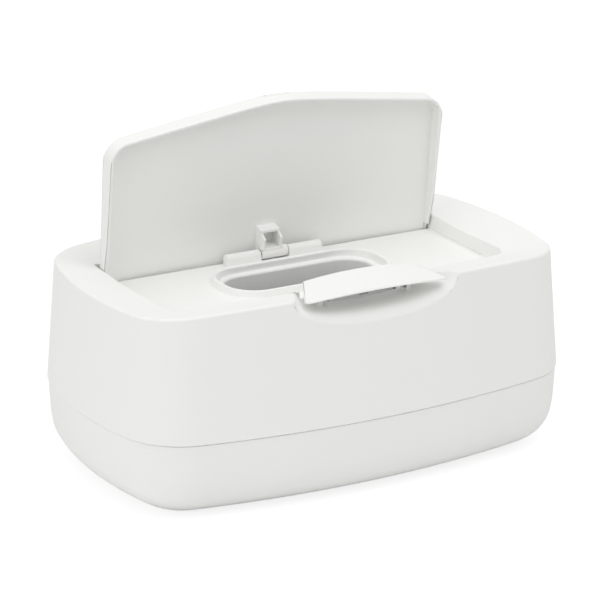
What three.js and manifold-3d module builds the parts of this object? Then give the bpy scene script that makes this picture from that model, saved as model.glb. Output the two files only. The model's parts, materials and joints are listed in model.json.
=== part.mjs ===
// A tabletop box that dispenses wipes through a slot in its top.
// Millimetres, +X to the right along the long side, +Y to the back, +Z up.
// The origin is the centre of the underside. The lid is modelled standing open.
import * as THREE from 'three';
import { mergeVertices } from 'three/addons/utils/BufferGeometryUtils.js';
import Module from 'manifold-3d';

const wasm = await Module();
wasm.setup();

// Body: plan of the top edge, heights and wall
const topHalfLength = 117.5;
const topHalfDepth = 70.9;
const longSideRadius = { front: 447, back: 638 };
const endRadius = 188;
const cornerRadius = { front: 29, back: 24.5 };
const endHeight = 100;
const topArch = { front: 4.6, back: 3.6 };
const topDish = 5;
const topDishWidth = 25;
const topEdgeRadius = 1.3;
const seamHeight = 40.2;
const seamFlare = 4.6;
const wall = 2;
const gap = 0.3;

// Base tray
const baseStep = 0.5;
const baseTaper = 2;
const footInset = 18.8;
const footRoundness = 5.8;
const rimHeight = 5;
const rimWall = 1.6;
const restingRing = 8;
const restingRingHeight = 1.2;

// Recess in the top that the lid closes, and its deck
const recessHalfWidth = 92.6;
const recessBack = 43;
const deckHeight = 88.5;
const lidClearance = 0.8;

// Hinge of the lid, in the middle of the back of the deck
const hingeY = 32.3;
const hingeZ = 91.8;
const hingePinRadius = 1.2;
const hingePinHalfLength = 25;
const bossInner = 7.8;
const bossOuter = 26.4;
const bossRadius = 3.1;
const troughFront = 36.4;
const troughFloor = 84.5;
const armPocketDepth = 1.2;

// Lid, measured from the hinge axis with the lid closed
const lidOpenAngle = 84;
const lidHalfWidth = 91.8;
const lidReach = 80.7;
const lidTail = 5.5;
const lidTop = 6.4;
const lidArch = 1.4;
const lidWall = 1.8;
const lidVeeSlope = 0.145;
const lidVeeRound = 12;
const lidCornerRadius = 9;
const lidSkirtFront = -2;
const lidSkirtBack = 2.6;
const skirtEnd = 0.8;
const nibHalfWidth = 6.5;
const nibDepth = 0.7;
const armHalfWidth = 5.3;
const armPlate = 1.4;
const armRoundRadius = 2.9;

// Collar and slot
const collarX = -0.8;
const collarY = 1.6;
const collarTop = 91.9;
const collar = { halfWidth: 42.6, halfDepth: 20.6, corner: 17 };
const slot = { halfWidth: 38.3, halfDepth: 16.6, corner: 13 };
const slotLedge = 88;

// Paddle and the scoop under it
const paddleBackY = -49.2;
const paddleBackHalf = 29;
const paddleFrontHalf = 38;
const paddleFrontY = -70.9;
const paddleFrontBow = 1.7;
const paddleThickness = 2.8;
const paddleBackTop = 104.9;
const paddleFrontTop = 101.6;
const paddleArch = 1.8;
const pivotY = -55.5;
const pivotZ = 97.5;
const pivotPinRadius = 1.2;
const lugX = 18;
const lugWidth = 3;
const scoopHalfWidth = 45;
const scoopSill = 89.9;
const scoopFloor = 92.5;
const scoopBack = -50.6;

// Solids
function solidFrom(geometry) {
  const bare = geometry.index ? geometry.clone() : geometry;
  bare.deleteAttribute('normal');
  bare.deleteAttribute('uv');
  const merged = mergeVertices(bare, 1e-4);
  const mesh = new wasm.Mesh({
    numProp: 3,
    vertProperties: new Float32Array(merged.attributes.position.array),
    triVerts: new Uint32Array(merged.index.array),
  });
  return new wasm.Manifold(mesh);
}

function geometryFrom(solid) {
  const mesh = solid.getMesh();
  const geometry = new THREE.BufferGeometry();
  geometry.setAttribute('position', new THREE.BufferAttribute(new Float32Array(mesh.vertProperties), 3));
  geometry.setIndex(new THREE.BufferAttribute(new Uint32Array(mesh.triVerts), 1));
  geometry.computeVertexNormals();
  return geometry;
}

function join(first, ...others) {
  return others.reduce((sum, other) => sum.add(other), first);
}

function cut(first, ...others) {
  return others.reduce((rest, other) => rest.subtract(other), first);
}

// Skins a stack of rings that all have the same number of points. The two caps are
// strips between point i and point n - i, so they can follow an arch.
function loft(rings) {
  const count = rings[0].length;
  const positions = rings.flatMap((ring) => ring.flatMap((point) => point.toArray()));
  const faces = [];
  for (let level = 0; level + 1 < rings.length; level++) {
    for (let i = 0; i < count; i++) {
      const next = (i + 1) % count;
      const low = level * count;
      const high = low + count;
      faces.push(low + i, low + next, high + next, low + i, high + next, high + i);
    }
  }
  const last = (rings.length - 1) * count;
  for (let i = 0; i < count / 2; i++) {
    const a = i;
    const b = i + 1;
    const c = (count - i - 1) % count;
    const d = (count - i) % count;
    if (b !== c) {
      faces.push(last + a, last + b, last + c, a, c, b);
    }
    if (d !== a) {
      faces.push(last + a, last + c, last + d, a, d, c);
    }
  }
  const geometry = new THREE.BufferGeometry();
  geometry.setAttribute('position', new THREE.Float32BufferAttribute(positions, 3));
  geometry.setIndex(faces);
  return geometry;
}

// Skins cross-sections that stand one after another along X.
function loftAlongX(stations, sectionAt) {
  const rings = stations.map((x) => sectionAt(x).map(([y, z]) => new THREE.Vector3(x, y, z)));
  const count = rings[0].length;
  const positions = rings.flatMap((ring) => ring.flatMap((point) => point.toArray()));
  const faces = [];
  for (let level = 0; level + 1 < rings.length; level++) {
    for (let i = 0; i < count; i++) {
      const next = (i + 1) % count;
      const low = level * count;
      const high = low + count;
      faces.push(low + i, low + next, high + next, low + i, high + next, high + i);
    }
  }
  const last = (rings.length - 1) * count;
  const flat = rings[0].map((point) => new THREE.Vector2(point.y, point.z));
  const flatEnd = rings[rings.length - 1].map((point) => new THREE.Vector2(point.y, point.z));
  for (const [a, b, c] of THREE.ShapeUtils.triangulateShape(flat, [])) {
    faces.push(a, c, b);
  }
  for (const [a, b, c] of THREE.ShapeUtils.triangulateShape(flatEnd, [])) {
    faces.push(last + a, last + b, last + c);
  }
  const geometry = new THREE.BufferGeometry();
  geometry.setAttribute('position', new THREE.Float32BufferAttribute(positions, 3));
  geometry.setIndex(faces);
  return geometry;
}

function box(x0, x1, y0, y1, z0, z1) {
  const geometry = new THREE.BoxGeometry(x1 - x0, y1 - y0, z1 - z0);
  geometry.translate((x0 + x1) / 2, (y0 + y1) / 2, (z0 + z1) / 2);
  return geometry;
}

function barAlongX(radius, x0, x1, y, z, sides) {
  const geometry = new THREE.CylinderGeometry(radius, radius, x1 - x0, sides);
  geometry.rotateZ(Math.PI / 2);
  geometry.translate((x0 + x1) / 2, y, z);
  return geometry;
}

function plateAlongX(outline, x0, x1) {
  return loftAlongX([x0, x1], () => outline);
}

// Plan of the body: four long arcs joined by corner arcs
function quarterPlan(halfLength, halfDepth, longRadius, shortRadius, corner) {
  const longCentre = new THREE.Vector2(0, halfDepth - longRadius);
  const endCentre = new THREE.Vector2(halfLength - shortRadius, 0);
  const fromLong = longRadius - corner;
  const fromEnd = shortRadius - corner;
  const between = endCentre.clone().sub(longCentre);
  const distance = between.length();
  const along = (fromLong ** 2 - fromEnd ** 2 + distance ** 2) / (2 * distance);
  const aside = Math.sqrt(fromLong ** 2 - along ** 2);
  const unit = between.divideScalar(distance);
  const cornerCentre = new THREE.Vector2(
    longCentre.x + unit.x * along + unit.y * aside,
    longCentre.y + unit.y * along - unit.x * aside,
  );
  const longEnd = cornerCentre.clone().sub(longCentre).angle();
  const endStart = cornerCentre.clone().sub(endCentre).angle();
  const points = [];
  const arc = (centre, radius, from, to, steps, first) => {
    for (let i = first; i <= steps; i++) {
      const angle = from + ((to - from) * i) / steps;
      points.push([centre.x + radius * Math.cos(angle), centre.y + radius * Math.sin(angle)]);
    }
  };
  arc(longCentre, longRadius, Math.PI / 2, longEnd, 5, 0);
  arc(cornerCentre, corner, longEnd, endStart, 8, 1);
  arc(endCentre, shortRadius, endStart, 0, 4, 1);
  return points;
}

// The ring starts at the left end, runs along the front and returns along the back.
function bodyRing(grow, heightAt) {
  const quarter = (side) => quarterPlan(
    topHalfLength + grow,
    topHalfDepth + grow,
    longSideRadius[side] + grow,
    endRadius + grow,
    cornerRadius[side] + grow,
  );
  const front = quarter('front');
  const back = quarter('back');
  const frontLeft = front.map(([x, y]) => [-x, -y]).reverse();
  const frontRight = front.slice(1).map(([x, y]) => [x, -y]);
  const backRight = back.slice(0, -1).reverse();
  const backLeft = back.slice(1, -1).map(([x, y]) => [-x, y]);
  const ring = [...frontLeft, ...frontRight, ...backRight, ...backLeft];
  return ring.map(([x, y]) => new THREE.Vector3(x, y, heightAt(x, y)));
}

function arched(height) {
  return (x, y) => height + (y < 0 ? topArch.front : topArch.back) * (1 - (x / topHalfLength) ** 2);
}

function flatAt(height) {
  return () => height;
}

function flareAt(height) {
  return (seamFlare * (endHeight - height)) / (endHeight - seamHeight);
}

// Rounded rectangle in plan, as a ring that starts at its left end
function slotRing(shape, grow, height, x, y) {
  const halfWidth = shape.halfWidth + grow;
  const halfDepth = shape.halfDepth + grow;
  const corner = shape.corner + grow;
  const quarter = [[0, halfDepth]];
  for (let i = 0; i <= 5; i++) {
    const angle = Math.PI / 2 - (i * Math.PI) / 10;
    const u = halfWidth - corner + corner * Math.cos(angle);
    const v = halfDepth - corner + corner * Math.sin(angle);
    quarter.push([u, v]);
  }
  quarter.push([halfWidth, 0]);
  const frontLeft = quarter.map(([u, v]) => [-u, -v]).reverse();
  const frontRight = quarter.slice(1).map(([u, v]) => [u, -v]);
  const backRight = quarter.slice(0, -1).reverse();
  const backLeft = quarter.slice(1, -1).map(([u, v]) => [-u, v]);
  const ring = [...frontLeft, ...frontRight, ...backRight, ...backLeft];
  return ring.map(([u, v]) => new THREE.Vector3(x + u, y + v, height));
}

// Base tray: straight walls that turn in to a narrower foot
function baseGrowAt(height) {
  const down = 1 - height / seamHeight;
  return seamFlare - baseStep - baseTaper * down - footInset * down ** footRoundness;
}

function baseTray() {
  const levels = [0, 0.8, 2, 4, 7, 11, 16, 24, seamHeight - gap];
  const outside = loft(levels.map((z) => bodyRing(baseGrowAt(z), flatAt(z))));
  const insideLevels = [2.6, 4, 7, 11, 16, 24, seamHeight - 6];
  const rimOutside = seamFlare - wall - gap;
  const insideRings = insideLevels.map((z) => bodyRing(baseGrowAt(z) - wall, flatAt(z)));
  insideRings.push(bodyRing(rimOutside - rimWall, flatAt(seamHeight - 4)));
  insideRings.push(bodyRing(rimOutside - rimWall - 0.4, flatAt(seamHeight + rimHeight + 1)));
  const rim = loft([
    bodyRing(rimOutside, flatAt(seamHeight - 3)),
    bodyRing(rimOutside - 0.4, flatAt(seamHeight + rimHeight)),
  ]);
  const underside = loft([
    bodyRing(baseGrowAt(0) - restingRing, flatAt(-1)),
    bodyRing(baseGrowAt(0) - restingRing - 1, flatAt(restingRingHeight)),
  ]);
  return cut(join(solidFrom(outside), solidFrom(rim)), solidFrom(loft(insideRings)), solidFrom(underside));
}

// Front edge of the lid and of its recess: a shallow vee with a rounded point
function veeEdge(x, reach, halfWidth, corner) {
  const size = Math.abs(x);
  const vee = lidVeeSlope * (Math.hypot(size, lidVeeRound) - lidVeeRound);
  const past = Math.min(Math.max(size - (halfWidth - corner), 0), corner);
  const turn = corner - Math.sqrt(corner ** 2 - past ** 2);
  return -reach + vee + turn;
}

function veeStations(halfWidth, corner) {
  const half = [0, 8, 17, 30, 50, 68];
  for (let i = 0; i <= 5; i++) {
    half.push(halfWidth - corner + corner * Math.sin((i * Math.PI) / 10));
  }
  return [...half.slice(1).reverse().map((x) => -x), ...half];
}

function lidRecess(grow, floor) {
  const halfWidth = recessHalfWidth + grow;
  const corner = lidCornerRadius + 1 + grow;
  const reach = lidReach + lidClearance + grow;
  return loftAlongX(veeStations(halfWidth, corner), (x) => {
    const front = hingeY + veeEdge(x, reach, halfWidth, corner);
    return [[front, floor], [recessBack + grow, floor], [recessBack + grow, 130], [front, 130]];
  });
}

function trough(grow) {
  const halfWidth = recessHalfWidth + grow;
  return box(-halfWidth, halfWidth, troughFront - grow, recessBack + grow, troughFloor - grow, 130);
}

// Section of the scoop under the paddle: a wide U, as a ring across the front
function scoopRing(halfWidth, floor, y) {
  const shoulder = 104;
  const power = 2 / 2.3;
  const steps = 12;
  const points = [];
  for (let i = 0; i <= steps; i++) {
    const angle = Math.PI + (Math.PI * i) / steps;
    const across = Math.sign(Math.cos(angle)) * Math.abs(Math.cos(angle)) ** power;
    const down = Math.abs(Math.sin(angle)) ** power;
    points.push([halfWidth * across, shoulder - (shoulder - floor) * down]);
  }
  for (let i = 1; i < steps; i++) {
    points.push([halfWidth * (1 - (2 * i) / steps), 120]);
  }
  return points.map(([x, z]) => new THREE.Vector3(x, y, z));
}

function scoop(grow) {
  const sections = [
    [scoopHalfWidth - 9.5, scoopFloor, scoopBack],
    [scoopHalfWidth - 4, scoopFloor, -63.5],
    [scoopHalfWidth - 2, scoopFloor - 1, -67.5],
    [scoopHalfWidth, scoopSill, -71.2],
    [scoopHalfWidth + 3, scoopSill - 3, -75],
    [scoopHalfWidth + 6, scoopSill - 6, -79],
  ];
  const rings = sections.map(([halfWidth, floor, y], i) => (
    scoopRing(halfWidth + grow, floor - grow, i === 0 ? y + grow : y)
  ));
  return loft(rings);
}

function collarSolid() {
  return loft([
    slotRing(collar, 1.8, deckHeight - wall, collarX, collarY),
    slotRing(collar, 0, collarTop - 0.6, collarX, collarY),
    slotRing(collar, -0.7, collarTop, collarX, collarY),
  ]);
}

function funnelCut() {
  return loft([
    slotRing(slot, 0, 70, collarX, collarY),
    slotRing(slot, 0, slotLedge, collarX, collarY),
    slotRing(collar, -2.2, collarTop - 0.8, collarX, collarY),
    slotRing(collar, -1.1, collarTop + 1, collarX, collarY),
  ]);
}

function hingeBoss(side) {
  const outline = [[hingeY - bossRadius - 0.6, deckHeight - 1]];
  outline.push([hingeY + bossRadius, deckHeight - 1]);
  for (let i = 0; i <= 6; i++) {
    const angle = (i * Math.PI) / 6;
    outline.push([hingeY + bossRadius * Math.cos(angle), hingeZ - 0.6 + bossRadius * Math.sin(angle)]);
  }
  const ends = [side * bossInner, side * bossOuter].sort((a, b) => a - b);
  return plateAlongX(outline, ...ends);
}

function pivotBoss(side) {
  const x = side * (lugX + 6);
  const outline = [[pivotY - 3.4, scoopFloor - 1], [pivotY + 3.4, scoopFloor - 1]];
  for (let i = 0; i <= 6; i++) {
    const angle = (i * Math.PI) / 6;
    outline.push([pivotY + 2.6 * Math.cos(angle), pivotZ + 2.6 * Math.sin(angle)]);
  }
  return plateAlongX(outline, x - 2, x + 2);
}

function upperHousing() {
  const seam = bodyRing(seamFlare, flatAt(seamHeight));
  const outside = loft([
    seam,
    bodyRing(flareAt(endHeight - topEdgeRadius), arched(endHeight - topEdgeRadius)),
    bodyRing(-0.3 * topEdgeRadius, arched(endHeight - 0.3 * topEdgeRadius)),
    bodyRing(-topEdgeRadius, arched(endHeight)),
    bodyRing(-topDishWidth, arched(endHeight - topDish)),
  ]);
  const cavity = loft([
    bodyRing(seamFlare - wall + 0.1, flatAt(seamHeight - 1)),
    bodyRing(-wall, arched(endHeight - wall - 1)),
    bodyRing(-topDishWidth, arched(endHeight - topDish - wall)),
  ]);
  const kept = join(
    solidFrom(lidRecess(wall, deckHeight - wall)),
    solidFrom(trough(wall)),
    solidFrom(scoop(wall)),
  );
  const shell = cut(solidFrom(outside), cut(solidFrom(cavity), kept));
  const catchGap = box(-33, 33, scoopBack - 1, hingeY - lidReach + 2, 96, 130);
  const open = cut(
    shell,
    solidFrom(lidRecess(0, deckHeight)),
    solidFrom(trough(0)),
    solidFrom(scoop(0)),
    solidFrom(catchGap),
  );
  const fitted = join(
    open,
    solidFrom(collarSolid()),
    solidFrom(hingeBoss(-1)),
    solidFrom(hingeBoss(1)),
    solidFrom(pivotBoss(-1)),
    solidFrom(pivotBoss(1)),
  );
  const pocketFront = hingeY - bossRadius - 0.6;
  const pocketFloor = deckHeight - armPocketDepth;
  const armPocket = box(-bossInner, bossInner, pocketFront, troughFront + 1, pocketFloor, deckHeight + 1);
  const hingeBore = barAlongX(
    hingePinRadius + gap,
    -hingePinHalfLength - gap,
    hingePinHalfLength + gap,
    hingeY,
    hingeZ,
    16,
  );
  const pivotReach = lugX + 7;
  const pivotBore = barAlongX(pivotPinRadius + gap, -pivotReach - gap, pivotReach + gap, pivotY, pivotZ, 16);
  return cut(fitted, solidFrom(funnelCut()), solidFrom(armPocket), solidFrom(hingeBore), solidFrom(pivotBore));
}

// Lid, drawn closed about its hinge axis
function lidSection(x, inset) {
  const halfWidth = lidHalfWidth - inset;
  const corner = lidCornerRadius - inset;
  const front = veeEdge(x, lidReach - inset, halfWidth, corner);
  const top = lidTop + lidArch * (1 - (x / lidHalfWidth) ** 2) - inset;
  return { front, top };
}

function lidOutside() {
  return loftAlongX(veeStations(lidHalfWidth, lidCornerRadius), (x) => {
    const { front, top } = lidSection(x, 0);
    const tailUnder = top - lidWall;
    return [
      [front + 0.5, lidSkirtFront],
      [-16, lidSkirtFront + 1.9],
      [skirtEnd, lidSkirtBack],
      [skirtEnd, tailUnder],
      [lidTail, tailUnder],
      [lidTail, top],
      [front + 1, top],
      [front, top - 0.9],
    ];
  });
}

function lidInside() {
  return loftAlongX(veeStations(lidHalfWidth - lidWall, lidCornerRadius - lidWall), (x) => {
    const { front, top } = lidSection(x, lidWall);
    return [[front, -20], [20, -20], [20, top], [front, top]];
  });
}

// Hinge arm on the inner face of the lid: two plates that turn on the pin, and a
// sloping plate that joins them at the far end
function hingeArm() {
  const inFace = lidTop + lidArch - lidWall + 0.3;
  const outline = [[-13.7, inFace], [-11.6, 1.4], [-10, 0.9], [-4.4, -2.3]];
  for (let i = 0; i <= 6; i++) {
    const angle = (7 / 6 + i * (5 / 36)) * Math.PI;
    outline.push([armRoundRadius * Math.cos(angle), armRoundRadius * Math.sin(angle)]);
  }
  outline.push([armRoundRadius, inFace]);
  const hollow = [[-12.3, 20], [-12.3, inFace], [-10.2, 1.4], [-9.4, -6], [20, -6], [20, 20]];
  const inner = armHalfWidth - armPlate;
  return cut(
    solidFrom(plateAlongX(outline, -armHalfWidth, armHalfWidth)),
    solidFrom(plateAlongX(hollow, -inner, inner)),
  );
}

function lidNib() {
  const front = -lidReach;
  const lip = front - nibDepth;
  const outline = [[front + 1, 3.6], [front + 1, 6.2], [front - 0.2, 6.2], [lip, 5.6], [lip, 4.6]];
  return plateAlongX(outline, -nibHalfWidth, nibHalfWidth);
}

function lid() {
  const shell = cut(solidFrom(lidOutside()), solidFrom(lidInside()));
  const fitted = join(shell, hingeArm(), solidFrom(lidNib()));
  return cut(fitted, solidFrom(barAlongX(hingePinRadius + gap, -9, 9, 0, 0, 16)));
}

// Push paddle: a tapering plate that is highest along its back edge
function paddlePlate() {
  const stations = [-1, -0.8, -0.55, -0.28, 0, 0.28, 0.55, 0.8, 1];
  const rings = stations.map((u) => {
    const crown = paddleArch * (1 - u * u);
    const frontY = paddleFrontY + paddleFrontBow * u * u;
    const backTop = paddleBackTop + crown;
    const frontTop = paddleFrontTop + crown;
    const middleHalf = (paddleBackHalf + paddleFrontHalf) / 2;
    const middleTop = (backTop + frontTop) / 2 + 0.5;
    return [
      [paddleFrontHalf * u, frontY, frontTop - 1.9],
      [middleHalf * u, (frontY + paddleBackY) / 2, middleTop - paddleThickness],
      [paddleBackHalf * u, paddleBackY, backTop - paddleThickness],
      [paddleBackHalf * u, paddleBackY, backTop - 0.5],
      [paddleBackHalf * u, paddleBackY - 0.6, backTop],
      [middleHalf * u, (frontY + paddleBackY) / 2, middleTop],
      [paddleFrontHalf * u, frontY + 0.5, frontTop],
      [paddleFrontHalf * u, frontY, frontTop - 0.5],
    ].map((point) => new THREE.Vector3(...point));
  });
  return loft(rings);
}

function paddleLug(side) {
  const outline = [[pivotY + 4, 103.4], [pivotY - 4, 102.6]];
  for (let i = 0; i <= 6; i++) {
    const angle = Math.PI + (i * Math.PI) / 6;
    outline.push([pivotY + 2.6 * Math.cos(angle), pivotZ + 2.6 * Math.sin(angle)]);
  }
  const x = side * lugX;
  return plateAlongX(outline, x - lugWidth / 2, x + lugWidth / 2);
}

function pushPaddle() {
  const plate = join(solidFrom(paddlePlate()), solidFrom(paddleLug(-1)), solidFrom(paddleLug(1)));
  return cut(plate, solidFrom(barAlongX(pivotPinRadius + gap, -30, 30, pivotY, pivotZ, 16)));
}

// Torsion spring round an axis along X, with a short straight leg at each end
class SpringPath extends THREE.Curve {
  constructor(radius, turns, length, legs) {
    super();
    Object.assign(this, { radius, turns, length, legs });
  }

  getPoint(t, target = new THREE.Vector3()) {
    const { radius, turns, length, legs } = this;
    const coil = 2 * Math.PI * radius * turns;
    const run = t * (coil + 2 * legs);
    const wound = THREE.MathUtils.clamp(run - legs, 0, coil);
    const angle = wound / radius;
    const over = run - legs - wound;
    return target.set(
      -length / 2 + (length * wound) / coil,
      radius * Math.cos(angle) - over * Math.sin(angle),
      radius * Math.sin(angle) + over * Math.cos(angle),
    );
  }
}

function torsionSpring(radius, turns, length, legs, wire) {
  const section = new THREE.Shape();
  const sides = 6;
  for (let i = 0; i < sides; i++) {
    const angle = (2 * Math.PI * i) / sides;
    const place = i === 0 ? 'moveTo' : 'lineTo';
    section[place](wire * Math.cos(angle), wire * Math.sin(angle));
  }
  section.closePath();
  return new THREE.ExtrudeGeometry(section, {
    steps: 16 + Math.round(turns * 12),
    bevelEnabled: false,
    extrudePath: new SpringPath(radius, turns, length, legs),
  });
}

// Materials
const plastic = { color: 0xf2f2ef, roughness: 0.42, metalness: 0 };
const steel = { color: 0xb9bcc0, roughness: 0.3, metalness: 1 };

function named(name, geometry, look) {
  const mesh = new THREE.Mesh(geometry, new THREE.MeshStandardMaterial(look));
  mesh.name = name;
  return mesh;
}

// Assembly
const wipesBox = new THREE.Group();
wipesBox.add(named('base_tray', geometryFrom(baseTray()), plastic));
wipesBox.add(named('upper_housing', geometryFrom(upperHousing()), plastic));

const hinge = new THREE.Group();
hinge.position.set(0, hingeY, hingeZ);
wipesBox.add(hinge);
const lidMesh = named('lid', geometryFrom(lid()), plastic);
lidMesh.rotation.x = -THREE.MathUtils.degToRad(lidOpenAngle);
hinge.add(lidMesh);
const pinEnds = [-hingePinHalfLength, hingePinHalfLength];
hinge.add(named('lid_hinge_pin', barAlongX(hingePinRadius, ...pinEnds, 0, 0, 16), steel));
hinge.add(named('lid_spring', torsionSpring(2.15, 5.25, 6, 3.6, 0.35), steel));

wipesBox.add(named('push_paddle', geometryFrom(pushPaddle()), plastic));
const pivot = new THREE.Group();
pivot.position.set(0, pivotY, pivotZ);
wipesBox.add(pivot);
pivot.add(named('paddle_pivot_pin', barAlongX(pivotPinRadius, -lugX - 7, lugX + 7, 0, 0, 16), steel));
pivot.add(named('paddle_spring', torsionSpring(2.15, 4.25, 5, 3, 0.3), steel));

export default wipesBox;
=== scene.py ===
import json
import math

import bmesh
import bpy
from bpy.props import FloatProperty, FloatVectorProperty, PointerProperty
from mathutils import Matrix, Quaternion, Vector


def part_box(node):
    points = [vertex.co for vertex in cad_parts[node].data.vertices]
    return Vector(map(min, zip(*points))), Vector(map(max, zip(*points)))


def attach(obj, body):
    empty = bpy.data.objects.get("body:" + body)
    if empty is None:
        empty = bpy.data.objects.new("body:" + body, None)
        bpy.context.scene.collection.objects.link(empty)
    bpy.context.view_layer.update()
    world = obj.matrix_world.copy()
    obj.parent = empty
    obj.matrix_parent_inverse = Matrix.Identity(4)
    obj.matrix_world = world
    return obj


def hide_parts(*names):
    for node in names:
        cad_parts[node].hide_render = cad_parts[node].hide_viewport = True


bl_info = {
    "name": "Wipes box",
    "version": (1, 0, 0),
    "blender": (4, 5, 0),
    "location": "View3D > Sidebar > Wipes box",
    "description": "Builds the moulded shells, lid, paddle and hinge parts of a wipes box",
    "category": "Object",
}

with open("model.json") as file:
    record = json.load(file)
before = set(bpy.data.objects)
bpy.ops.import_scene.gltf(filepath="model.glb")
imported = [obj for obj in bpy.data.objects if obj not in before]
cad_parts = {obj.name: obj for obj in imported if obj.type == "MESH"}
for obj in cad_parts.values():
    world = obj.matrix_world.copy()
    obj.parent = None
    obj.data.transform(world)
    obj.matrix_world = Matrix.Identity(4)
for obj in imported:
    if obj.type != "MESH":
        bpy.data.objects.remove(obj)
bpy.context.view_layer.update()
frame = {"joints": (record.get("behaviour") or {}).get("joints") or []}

MM = 0.001
JOINTS = {joint["name"]: joint for joint in frame["joints"]}
LID_AXIS = Vector(JOINTS["lid_hinge"]["pos_m"])
LID_OPEN = math.radians(JOINTS["lid_hinge"]["range_deg"][1])
PADDLE_AXIS = Vector(JOINTS["paddle_press"]["pos_m"])
HOUSING_LOW, HOUSING_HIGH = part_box("upper_housing")
LID_PIN_LOW, LID_PIN_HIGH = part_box("lid_hinge_pin")
PADDLE_PIN_LOW, PADDLE_PIN_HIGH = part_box("paddle_pivot_pin")
FLARE = 4.6 * MM
ARCH_FRONT = 4.6 * MM
FRONT_RADIUS = 447 * MM
FOOT_POWER = 5.8
VEE_SLOPE = 0.145
ABOVE = 130 * MM
BORE_RADIUS = 1.5 * MM
BARREL_RADIUS = 2.8 * MM
BARREL_INNER = 7.8 * MM
BARREL_OUTER = 26.4 * MM
KNUCKLE_RADIUS = 2.9 * MM
LUG_X = 18 * MM
POST_X = 24 * MM
MARK_PLACES = ((-27.4 * MM, -4.3 * MM), (25.5 * MM, -4.3 * MM))
MERGE = 0.05 * MM
CAMERA_TARGET = Vector((0.93, 6.47, 73.28)) * MM
CAMERA_SHIFT = (-0.0003, 0.00265)


def length(name, description, default):
    """A size in metres that the panel shows."""
    return FloatProperty(name=name, description=description, default=default, unit="LENGTH", precision=5)


def power(name, description, default):
    """A lamp's power in watts that the panel shows."""
    return FloatProperty(name=name, description=description, default=default, unit="POWER")


def colour(name, description, default):
    """A colour that the panel shows."""
    return FloatVectorProperty(name=name, description=description, default=default, subtype="COLOR",
                               size=3, min=0.0, max=1.0)


class BodySizes(bpy.types.PropertyGroup):
    """Sizes of the two shells."""

    half_length: length("Half length", "Half of the top edge's length", HOUSING_HIGH.x - FLARE)
    half_depth: length("Half depth", "Half of the top edge's depth", HOUSING_HIGH.y - FLARE)
    front_radius: length("Front bow", "Radius of the long front side", FRONT_RADIUS)
    back_radius: length("Back bow", "Radius of the long back side", 638 * MM)
    end_radius: length("End bow", "Radius of the two short sides", 188 * MM)
    front_corner: length("Front corner", "Radius of the front corners", 29 * MM)
    back_corner: length("Back corner", "Radius of the back corners", 24.5 * MM)
    end_height: length("End height", "Height of the top edge at the two ends", HOUSING_HIGH.z - ARCH_FRONT)
    arch_front: length("Front arch", "Rise of the top edge at the middle of the front", ARCH_FRONT)
    arch_back: length("Back arch", "Rise of the top edge at the middle of the back", 3.6 * MM)
    dish: length("Dish", "Fall of the top towards the lid", 5 * MM)
    dish_width: length("Dish width", "Width of the band that falls towards the lid", 25 * MM)
    top_round: length("Top round", "Radius of the top edge", 1.3 * MM)
    seam: length("Seam height", "Height of the seam between the shells", HOUSING_LOW.z)
    flare: length("Flare", "How far the seam stands out past the top edge", FLARE)
    wall: length("Wall", "Thickness of the mouldings", 2 * MM)
    step: length("Step", "How far the base sits back under the seam", 0.5 * MM)
    taper: length("Taper", "Draft of the base's straight wall", 2 * MM)
    foot_inset: length("Foot inset", "How far the round foot turns in", 18.8 * MM)


class LidSizes(bpy.types.PropertyGroup):
    """Sizes of the lid and of the recess that it closes."""

    half_width: length("Half width", "Half of the lid's width", 91.8 * MM)
    reach: length("Reach", "Hinge axis to the point of the front edge", 80.7 * MM)
    tail: length("Tail", "How far the lid runs on behind its axis", 5.5 * MM)
    top: length("Top", "Height of the closed lid over its axis", 6.4 * MM)
    arch: length("Arch", "Rise of the lid's middle over its sides", 1.4 * MM)
    wall: length("Wall", "Thickness of the lid", 1.8 * MM)
    corner: length("Corner", "Radius of the lid's front corners", 9 * MM)
    vee_round: length("Vee round", "How blunt the point of the front edge is", 12 * MM)
    clearance: length("Clearance", "Gap round the closed lid", 0.8 * MM)
    recess_back: length("Recess back", "Where the recess ends behind the lid", 43 * MM)
    deck: length("Deck", "Height of the deck under the lid", 88.5 * MM)


class SlotSizes(bpy.types.PropertyGroup):
    """Sizes of the slot and of the collar round it."""

    x: length("X", "Middle of the slot along the box", -0.8 * MM)
    y: length("Y", "Middle of the slot across the box", 1.6 * MM)
    half_width: length("Half width", "Half of the slot's width", 39.5 * MM)
    half_depth: length("Half depth", "Half of the slot's depth", 16.2 * MM)
    corner: length("Corner", "Radius of the slot's corners", 13 * MM)
    collar_width: length("Collar width", "Half of the collar's width", 45.2 * MM)
    collar_depth: length("Collar depth", "Half of the collar's depth", 20.6 * MM)
    collar_corner: length("Collar corner", "Radius of the collar's corners", 17 * MM)
    collar_top: length("Collar top", "Height of the collar's rim", 91.9 * MM)
    ledge: length("Ledge", "Height of the slot's lip inside the collar", 88 * MM)


class PaddleSizes(bpy.types.PropertyGroup):
    """Sizes of the push paddle and of the scoop under it."""

    back_y: length("Back", "Place of the paddle's back edge", -49.2 * MM)
    front_y: length("Front", "Place of the paddle's front edge", -70.9 * MM)
    bow: length("Bow", "How far the front edge bows", 1.7 * MM)
    back_half: length("Back half width", "Half of the back edge", 29 * MM)
    front_half: length("Front half width", "Half of the front edge", 38 * MM)
    back_top: length("Back height", "Height of the back edge", 104.9 * MM)
    front_top: length("Front height", "Height of the front edge", 101.6 * MM)
    arch: length("Arch", "Rise of the paddle's middle", 1.8 * MM)
    thickness: length("Thickness", "Thickness at the back edge", 2.8 * MM)
    scoop_half: length("Scoop half width", "Half of the scoop's mouth in the front wall", 45 * MM)
    scoop_floor: length("Scoop floor", "Height of the scoop's floor", 92.5 * MM)
    scoop_back: length("Scoop back", "Where the scoop ends under the paddle", -50.6 * MM)


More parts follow.
